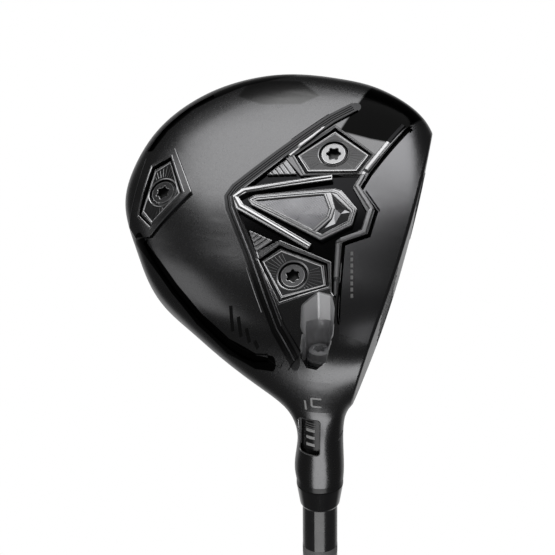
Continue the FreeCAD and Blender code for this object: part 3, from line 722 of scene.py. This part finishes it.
def in_scoop_mouth(spot, out):
    x, y, z = spot / MM
    in_mouth = between(x, MOUTH_X) and between(y, MOUTH_Y) and z < MOUTH_TOP and off_axis(spot) < MOUTH_RADIUS
    clear = path_distance(GROOVE, x, y) > CLEAR_OF_GROOVE and path_distance(RIDGE, x, y) > CLEAR_OF_RIDGE
    return out.z < MOUTH_LOOKS_DOWN and in_mouth and clear


PORT_LOOKS_OUT = 0.3
PORT_RADIUS = 12.5
PORT_FLOOR = -2


def in_port(name):
    port = Port(name)

    def keep(spot, out):
        gap = (spot - port.origin) / MM
        above_floor = gap.dot(port.out) > PORT_FLOOR
        return out.dot(port.out) > PORT_LOOKS_OUT and gap.length < PORT_RADIUS and above_floor
    return keep


WINDOW_LEVELS = (17, 31)
WINDOW_INNER_RADIUS = 5.4


def round_window(spot, out):
    """Edges round the hosel's window, between two levels above the bolt and outside the bore."""
    bolt = Vector(joints["bolt_turn"]["pos_m"])
    level = (spot - bolt).dot(SHAFT_AXIS) / MM
    return between(level, WINDOW_LEVELS) and off_axis(spot) > WINDOW_INNER_RADIUS


BADGE_WIRES = (("badge_rim", "wire", 0.35), ("v_rail", "wire", 0.3), ("toe_chevron", "wire", 0.3),
               ("heel_chevron", "wire", 0.3), ("badge_lens", "line", 0.25))


def edge_highlights():
    edge_wire("scoop_mouth_edge", "head_chassis", in_scoop_mouth, 0.42, "wire")
    edge_wire("window_edge", "head_chassis", round_window, 0.34, "wire")
    for port_name in PORTS:
        keep = in_port(port_name)
        weight, screw = port_name + "_weight", port_name + "_screw"
        edge_wire(port_name + "_pocket_edge", "head_chassis", keep, 0.28, "line")
        edge_wire(port_name + "_plate_bevel_highlight", weight, keep, 0.3, "wire", weight + "_body")
        edge_wire(port_name + "_screw_edge", screw, keep, 0.22, "wire", screw + "_body")
    for node, look, width in BADGE_WIRES:
        edge_wire(node + "_edge", node, faces_down, width, look)


# ---------------------------------------------------------------- trim of the sole
def shifted(path, distance):
    """The path moved sideways."""
    points = [Vector(point) for point in path]
    return [tuple(point + sideways(points, index, False) * distance) for index, point in enumerate(points)]


def ridge_trim():
    for index, offset in enumerate((-0.75, 0.55)):
        trim("ridge_line_%d" % index, shifted(RIDGE, offset), 0.32, 0.03, "groove")
    trim("ridge_crest", shifted(RIDGE, -0.1), 0.45, 0.12, "ridge", "roof")
    # Painted highlights along the ridge's edges: a bright one towards the toe and a duller one on the heel
    # side.
    trim("ridge_highlight_toe", RIDGE_HIGHLIGHT_TOE, 1.0, 0.35, "bright", "flat", taper=0.4)
    trim("ridge_highlight_heel", shifted(RIDGE, -1.4)[5:9], 0.4, 0.2, "line", "roof")


def groove_trim():
    trim("ledge_band", LEDGE, 1.5, 0.25, "ledge", "round")
    # Painted highlight on the slope at the end of the toe's rail.
    trim("toe_rail_highlight", TOE_RAIL_HIGHLIGHT, 1.3, 0.12, "line", "round")
    trim("toe_rail_dark", TOE_RAIL_DARK, 1.5, 0.12, "gloss", "round")


def badge_trim():
    trim("badge_border", BADGE_RIM, 0.8, 0.16, "rim", "round", on_sole(surface_of("badge_rim")), closed=True)
    trim("badge_bar", LENS_END, 0.9, 0.2, "rim", "round", on_sole(surface_of("badge_rim", "badge_lens")))
    rail = on_sole(surface_of("v_rail"))
    trim("rail_toe_facet", RAIL_TOE_ARM, 0.7, 0.1, "rail", "roof", rail, taper=1.9)
    trim("rail_heel_facet", RAIL_HEEL_ARM, 0.7, 0.1, "rail", "roof", rail, taper=1.9)


# Peaks of the cut stone: place in plan and height, where a height of 1 is GEM_HEIGHT.
GEM_PEAKS = [(-5.4, -8.6, 0.7), (-2.4, -10.3, 1.0), (0.6, -9.6, 0.5), (2.4, -7.4, 0.8), (-3.9, -10.9, 0.2),
             (-0.9, -8.9, 0.25)]
GEM_INSET = 0.2
GEM_HEIGHT = 0.5
GEM_RIM_HEIGHT = 0.05
GEM_SUNK = 0.1
BELOW_HEAD = -30


def gem_rim():
    """The gem's outline drawn in a little, so that every corner lies on the gem."""
    corners = [Vector(point) for point in GEM]
    rim = []
    for index, corner in enumerate(corners):
        step = sideways(corners, index, True) * GEM_INSET
        rim.append(corner + step if inside(GEM, *(corner + step)) else corner - step)
    return rim


def closed_shell(faces, count):
    """Faces of a closed shell from those of its top; its bottom's points come count later."""
    shell = [tuple(reversed(face)) for face in faces]
    shell += [tuple(count + index for index in face) for face in faces]
    sides = {(start, end) for face in faces for start, end in zip(face, face[1:] + face[:1])}
    for start, end in sorted(sides):
        if (end, start) not in sides:
            shell.append((start, end, count + end, count + start))
    return shell


def gem_facets():
    """Cut stone at the front of the badge: a closed shell of flat facets that rise to a few peaks."""
    rim = gem_rim()
    peaks = [peak for peak in GEM_PEAKS if inside(GEM, peak[0], peak[1])]
    edges = [(index, (index + 1) % len(rim)) for index in range(len(rim))]
    corners = rim + [Vector(peak[:2]) for peak in peaks]
    spots, _, faces, _, _, _ = delaunay_2d_cdt(corners, edges, [], 1, 1e-6)
    heights = [GEM_RIM_HEIGHT] * len(rim) + [peak[2] * GEM_HEIGHT for peak in peaks]
    surface = surface_of("badge_gem")
    top, bottom = [], []
    for spot, height in zip(spots, heights):
        hit, _, _, _ = surface.ray_cast(Vector((spot.x, spot.y, BELOW_HEAD)) * MM, -DOWN)
        if hit is None:
            raise RuntimeError("gem facet misses the gem at %s" % spot)
        top.append(hit + DOWN * height * MM)
        bottom.append(hit - DOWN * GEM_SUNK * MM)
    make_mesh("badge_facets", top + bottom, closed_shell(faces, len(spots)), "gem", "head")


# Lines machined in a weight's plate, with the painted highlight round its screw's recess, in millimetres and
# degrees from the screw.
RAY_START, RAY_LIMIT, NEAREST_RAY_END = 4.5, 9.5, 5.0
RAY_SEARCH = 0.1
RAY_ANGLE, RAYS_EACH_WAY = 8, 5
RING_RADIUS, HALF_RING = 4.15, 18
MARK_START, MARK_LENGTH, MARK_GAP, MARK_LEVEL = -2.0, 1.6, 2.2, -5.3
# Distance between the points of a plate's trim, which is flat and needs few.
PLATE_STEP = 9


def ray_reach(outline, angle):
    """Radius at which a line from the screw leaves an outline."""
    reach = RAY_START
    while reach < RAY_LIMIT and inside(outline, reach * math.cos(angle), reach * math.sin(angle)):
        reach += RAY_SEARCH
    return reach


def plate_rays(name, port, plate, body):
    """Fine lines that fan out to both sides of the screw and end inside the plate."""
    outline = port.pentagon(1.75)
    for end in (0, 180):
        for step in range(-RAYS_EACH_WAY, RAYS_EACH_WAY + 1):
            angle = math.radians(end + step * RAY_ANGLE)
            reach = ray_reach(outline, angle)
            if reach > NEAREST_RAY_END:
                radii = (RAY_START, reach - RAY_SEARCH)
                line = [(radius * math.cos(angle), radius * math.sin(angle)) for radius in radii]
                ray_name = "%s_ray_%d_%d" % (name, end, step + RAYS_EACH_WAY)
                trim(ray_name, line, 0.13, 0.04, "line", "roof", plate, body, step=PLATE_STEP)


def plate_marks(name, port, plate, body):
    """Two bars near the plate's base, where the original has a figure."""
    level = MARK_LEVEL * port.stretch
    for index in (0, 1):
        start = MARK_START + index * MARK_GAP
        bar = [(start, level), (start + MARK_LENGTH, level)]
        trim("%s_mark_%d" % (name, index), bar, 0.5, 0.04, "mark", "flat", plate, body, step=PLATE_STEP)


def port_trim(name):
    port = Port(name)
    plate = port.plane(PLATE_TOP)
    body = name + "_weight_body"
    # Painted highlights round the pocket's rim and the plate's outline.
    trim(name + "_port_rim_highlight", port.pentagon(-0.42), 0.34, 0.1, "line", "roof", port.over(HEAD), closed=True,
         step=1.5)
    trim(name + "_plate_rim_highlight", port.pentagon(1.35), 0.3, 0.07, "bright", "roof", plate, body, closed=True,
         step=PLATE_STEP)
    plate_rays(name, port, plate, body)
    turns = [turn * math.pi / HALF_RING for turn in range(2 * HALF_RING)]
    ring = [(RING_RADIUS * math.cos(turn), RING_RADIUS * math.sin(turn)) for turn in turns]
    # Painted highlight on the rim of the screw's recess.
    trim(name + "_plate_ring_highlight", ring, 0.3, 0.08, "line", "roof", plate, body, closed=True, step=PLATE_STEP)
    if name != "rear":
        plate_marks(name, port, plate, body)


SEARCH_RADIUS = 0.03


def round_shaft(surface):
    """Place on a round part of the shaft line: x along it from its foot, y round it towards the rear."""
    foot = AXIS_POINT + SHAFT_AXIS * BUTT_TO_FOOT * MM
    front = Vector((0, 0, -1)) + SHAFT_AXIS * SHAFT_AXIS.z
    front.normalize()
    rear = Vector((0, 1, 0))

    def place(x, y):
        centre = foot + SHAFT_AXIS * x * MM
        angle = y / NECK_RADIUS
        out = front * math.cos(angle) + rear * math.sin(angle)
        hit, _, _, _ = surface.ray_cast(centre + out * SEARCH_RADIUS, -out, SEARCH_RADIUS)
        base = hit if hit is not None else centre + out * NECK_RADIUS * MM

        def lifted(offset, height):
            turn = rear * math.cos(angle) - front * math.sin(angle)
            return base + (SHAFT_AXIS * offset.x + turn * offset.y + out * height) * MM
        return lifted
    return place


NECK_MARKS = [((27.2, -2.4), (27.2, 0.0)), ((27.2, 0.0), (30.0, 0.0)), ((30.0, 0.0), (30.0, -2.4)),
              ((28.2, 1.6), (31.4, 1.6))]
TICKS, FIRST_TICK, TICK_GAP, TICK_ENDS = 4, 36.2, 0.7, (-0.6, 2.8)
BARS, FIRST_BAR, BAR_GAP, BAR_ENDS = 3, 38.4, 2.2, (-0.4, 2.6)


def hosel_trim():
    """Plain bars and ticks on the neck and on the sleeve in its window."""
    neck = round_shaft(surface_of("head_chassis"))
    for index, ends in enumerate(NECK_MARKS):
        trim("neck_mark_%d" % index, ends, 0.55, 0.06, "mark", "flat", neck, step=0.8)
    sleeve = round_shaft(surface_of("hosel_sleeve"))
    for index in range(TICKS):
        tick = [(FIRST_TICK + index * TICK_GAP, end) for end in TICK_ENDS]
        trim("sleeve_tick_%d" % index, tick, 0.2, 0.05, "dim_mark", "flat", sleeve, "shaft_assembly",
             step=0.6)
    for index in range(BARS):
        bar = [(FIRST_BAR + index * BAR_GAP, end) for end in BAR_ENDS]
        trim("sleeve_bar_%d" % index, bar, 1.0, 0.05, "mark", "flat", sleeve, "shaft_assembly", step=0.6)


STRIP_BARS, STRIP_BAR_LENGTH = 8, 1.05
# Ends of the first bar behind the heel, and how far each end moves from one bar to the next.
AFT_BARS = 4
AFT_ENDS = ((27.0, 11.6), (32.5, 10.0))
AFT_STEPS = ((2.3, -2.6), (0.9, -2.4))


def generic_marks():
    """Plain bars where the original has lettering."""
    start, end = Vector(STRIP_START), Vector(STRIP_END)
    for index in range(STRIP_BARS):
        spot = start.lerp(end, index / STRIP_BARS)
        bar = [tuple(spot), tuple(spot + (end - start).normalized() * STRIP_BAR_LENGTH)]
        trim("strip_bar_%d" % index, bar, 0.75, 0.04, "dim_mark")
    for index in range(AFT_BARS):
        bar = [(x + index * step_x, y + index * step_y)
               for (x, y), (step_x, step_y) in zip(AFT_ENDS, AFT_STEPS)]
        trim("aft_bar_%d" % index, bar, 1.0, 0.05, "groove")


SCORE_ROWS, SCORE_LOWEST, SCORE_GAP = 7, 6.0, 3.2
SCORE_ENDS = {"toe": (-26.0, -11.0), "heel": (9.0, 21.0)}
SCORE_DRAWN_IN = 0.07
FRONT_REACH = 0.06


def face_lines():
    """Score lines across the face; away from the middle row each starts nearer the face's middle."""
    surface = surface_of("face_shell")
    front = Vector((0, -1, 0))

    def place(x, z):
        hit, _ = lay(surface, Vector((x, 0, z)) * MM, front, FRONT_REACH)
        return lambda offset, height: hit + Vector((offset.x, -height, offset.y)) * MM
    for row in range(SCORE_ROWS):
        height = SCORE_LOWEST + row * SCORE_GAP
        reach = 1 - abs(row - SCORE_ROWS // 2) * SCORE_DRAWN_IN
        for label, (start, end) in SCORE_ENDS.items():
            line = [(start * reach, height), (end, height)]
            trim("face_%s_line_%d" % (label, row), line, 0.55, 0.05, "groove", "flat", place, step=2)


CROWN_CHEVRON = [(-5.0, -9.5), (-2.0, -6.4), (1.0, -9.5)]
ABOVE_HEAD, CROWN_HEIGHT = 100, 30


def crown_mark():
    """Small open chevron on the crown's front edge, for lining the ball up."""
    surface = surface_of("crown_panel", "head_chassis")

    def place(x, y):
        hit, _, _, _ = surface.ray_cast(Vector((x, y, ABOVE_HEAD)) * MM, DOWN)
        hit = hit if hit is not None else Vector((x, y, CROWN_HEIGHT)) * MM
        return lambda offset, height: hit + Vector((offset.x, offset.y, height)) * MM
    trim("crown_chevron", CROWN_CHEVRON, 0.9, 0.06, "mark", "flat", place)


RING_CORNERS = 48
RING_SUNK = 0.3
RING_SHOULDER = 0.6


def shaft_ring(name, along, radius, width, rise, look):
    """Thin closed ring round the shaft line."""
    foot = AXIS_POINT + SHAFT_AXIS * (along + BUTT_TO_FOOT) * MM
    side = Vector((0, 1, 0))
    front = SHAFT_AXIS.cross(side).normalized()
    half, shoulder = width / 2, rise * RING_SHOULDER
    section = [(-half, -RING_SUNK), (-half, shoulder), (0, rise), (half, shoulder), (half, -RING_SUNK)]
    points, faces = [], []
    for turn in range(RING_CORNERS):
        angle = 2 * math.pi * turn / RING_CORNERS
        out = side * math.cos(angle) + front * math.sin(angle)
        points += [foot + (SHAFT_AXIS * step + out * (radius + height)) * MM for step, height in section]
    size = len(section)
    for turn in range(RING_CORNERS):
        first, second = turn * size, (turn + 1) % RING_CORNERS * size
        for corner in range(size):
            after = (corner + 1) % size
            faces.append((first + corner, first + after, second + after, second + corner))
    make_mesh(name, points, faces, look, "shaft_assembly")


# The grip from its mouth to its butt: places along the shaft and radii.
GRIP_START, GRIP_END = 822.0, 1085.0
MOUTH_END_RADIUS, BUTT_END_RADIUS = 9.6, 13.4
GRIP_RIBS, FIRST_RIB, RIB_GAP = 24, 12, 10.5
MOUTH_RING = 4.5
# Painted bands above the hosel: place along the shaft and width.
SHAFT_BANDS = ((78.0, 2.4), (84.0, 0.8), (86.0, 0.8))
SHAFT_BAND_RADIUS = 4.55


def grip_rings():
    """Ribs of the grip, the ring at its mouth and the painted bands of the shaft."""
    for index in range(GRIP_RIBS):
        along = GRIP_START + FIRST_RIB + index * RIB_GAP
        share = (along - GRIP_START) / (GRIP_END - GRIP_START)
        radius = MOUTH_END_RADIUS + (BUTT_END_RADIUS - MOUTH_END_RADIUS) * share
        shaft_ring("grip_rib_%02d" % index, along, radius, 3.4, 0.22, "grip")
    shaft_ring("grip_mouth_ring", GRIP_START + MOUTH_RING, MOUTH_END_RADIUS, 2.0, 0.35, "cap")
    for index, (along, width) in enumerate(SHAFT_BANDS):
        shaft_ring("shaft_band_%d" % index, along, SHAFT_BAND_RADIUS, width, 0.04, "dim_mark")


dress_nodes()
ridge_trim()
groove_trim()
badge_trim()
gem_facets()
for port_name in PORTS:
    port_trim(port_name)
hosel_trim()
edge_highlights()
generic_marks()
face_lines()
crown_mark()
grip_rings()


# ---------------------------------------------------------------- camera
RIGHT = Vector((-0.2739, -0.9452, 0.178)).normalized()
UP = Vector((-0.8686, 0.1637, -0.4678))
UP = (UP - RIGHT * UP.dot(RIGHT)).normalized()
BACK = RIGHT.cross(UP)
CAMERA_DISTANCE = 1.0
VIEW_WIDTH = 0.1423077
SENSOR = 36.0
AIM_RIGHT, AIM_UP = -0.0057692, -0.0160256
TARGET = RIGHT * AIM_RIGHT + UP * AIM_UP


def stand(name, data, place, right, up, back):
    """Put a camera or light in the scene, with its three axes along the given directions."""
    holder = bpy.data.objects.new(name, data)
    bpy.context.scene.collection.objects.link(holder)
    holder.matrix_world = Matrix.Translation(place) @ Matrix((right, up, back)).transposed().to_4x4()
    return holder


def camera():
    lens = bpy.data.cameras.new("camera")
    lens.sensor_width = SENSOR
    lens.lens = SENSOR / VIEW_WIDTH * CAMERA_DISTANCE
    lens.clip_start = 0.05
    lens.clip_end = 60
    place = TARGET + BACK * CAMERA_DISTANCE
    bpy.context.scene.camera = stand("camera", lens, place, RIGHT, UP, BACK)


# ---------------------------------------------------------------- studio
def softbox(name, across, up, towards, width, height, radiance, facing=None):
    """Soft rectangular light placed from the head, in the camera's right, up and back directions."""
    light = bpy.data.lights.new(name, "AREA")
    light.shape = "RECTANGLE"
    light.size = width
    light.size_y = height
    light.energy = radiance * math.pi * width * height
    place = TARGET + RIGHT * across + UP * up + BACK * towards
    aim = (facing if facing is not None else place - TARGET).normalized()
    side = (RIGHT - aim * RIGHT.dot(aim)).normalized()
    holder = stand(name, light, place, side, aim.cross(side), aim)
    holder.visible_camera = False


# Strength of the sky away from the camera's line of sight and along it, and where it passes from one to the
# other, as cosines of the angle between them.
SKY_DIM, SKY_BRIGHT = 0.07, 0.5
SKY_FROM, SKY_TO = 0.55, 0.85


def world():
    """Brighter behind the object as the camera sees it, dim elsewhere; plain white to the camera itself."""
    sky = bpy.data.worlds.new("studio")
    bpy.context.scene.world = sky
    sky.use_nodes = True
    tree = sky.node_tree
    background = tree.nodes["Background"]
    direction = tree.nodes.new("ShaderNodeTexCoord")
    facing = tree.nodes.new("ShaderNodeVectorMath")
    facing.operation = "DOT_PRODUCT"
    facing.inputs[1].default_value = -BACK
    tree.links.new(direction.outputs["Generated"], facing.inputs[0])
    spread = tree.nodes.new("ShaderNodeMapRange")
    spread.interpolation_type = "SMOOTHSTEP"
    spread.inputs["From Min"].default_value = SKY_FROM
    spread.inputs["From Max"].default_value = SKY_TO
    spread.inputs["To Min"].default_value = SKY_DIM
    spread.inputs["To Max"].default_value = SKY_BRIGHT
    tree.links.new(facing.outputs["Value"], spread.inputs["Value"])
    seen = tree.nodes.new("ShaderNodeLightPath")
    pick = tree.nodes.new("ShaderNodeMix")
    tree.links.new(seen.outputs["Is Camera Ray"], pick.inputs["Factor"])
    tree.links.new(spread.outputs["Result"], pick.inputs["A"])
    pick.inputs["B"].default_value = 1.0
    tree.links.new(pick.outputs["Result"], background.inputs["Strength"])
    background.inputs["Color"].default_value = (1, 1, 1, 1)


FLOOR_HALF, FLOOR_LEVEL = 15.0, -0.0003
FLOOR_GREY, FLOOR_GLOW = 0.07, 0.78


def floor():
    """Pale floor, seen only from above, so the photo's view from below is open."""
    signs = ((-1, -1), (1, -1), (1, 1), (-1, 1))
    corners = [(FLOOR_HALF * x, FLOOR_HALF * y, FLOOR_LEVEL) for x, y in signs]
    mesh = bpy.data.meshes.new("floor")
    mesh.from_pydata(corners, [], [(0, 1, 2, 3)])
    piece = bpy.data.objects.new("floor", mesh)
    bpy.context.scene.collection.objects.link(piece)
    material = bpy.data.materials.new("floor_pale")
    material.use_nodes = True
    tree = material.node_tree
    shader = tree.nodes["Principled BSDF"]
    shader.inputs["Base Color"].default_value = (FLOOR_GREY, FLOOR_GREY, FLOOR_GREY, 1)
    shader.inputs["Roughness"].default_value = 0.9
    shader.inputs["Emission Color"].default_value = (1, 1, 1, 1)
    shader.inputs["Emission Strength"].default_value = FLOOR_GLOW
    clear = tree.nodes.new("ShaderNodeBsdfTransparent")
    side = tree.nodes.new("ShaderNodeNewGeometry")
    pick = tree.nodes.new("ShaderNodeMixShader")
    tree.links.new(side.outputs["Backfacing"], pick.inputs["Fac"])
    tree.links.new(shader.outputs["BSDF"], pick.inputs[1])
    tree.links.new(clear.outputs["BSDF"], pick.inputs[2])
    tree.links.new(pick.outputs["Shader"], tree.nodes["Material Output"].inputs["Surface"])
    mesh.materials.append(material)
    for flag in ("visible_diffuse", "visible_glossy", "visible_transmission", "visible_shadow"):
        setattr(piece, flag, False)


camera()
world()
floor()
# Each softbox: place across, up and towards the camera, then width, height and radiance.
softbox("top_box", -0.18, 1.5, 0.49, 1.62, 0.82, 3.0, facing=UP)
softbox("low_box", -0.05, -1.5, 0.6, 1.45, 0.75, 2.8, facing=-UP)
softbox("left_fill", -1.6, 0.32, 0.75, 1.0, 1.0, 0.9)
softbox("front_fill", 0.25, 0.0, 1.8, 0.7, 0.9, 0.6)
bpy.context.scene.view_settings.view_transform = "Standard"
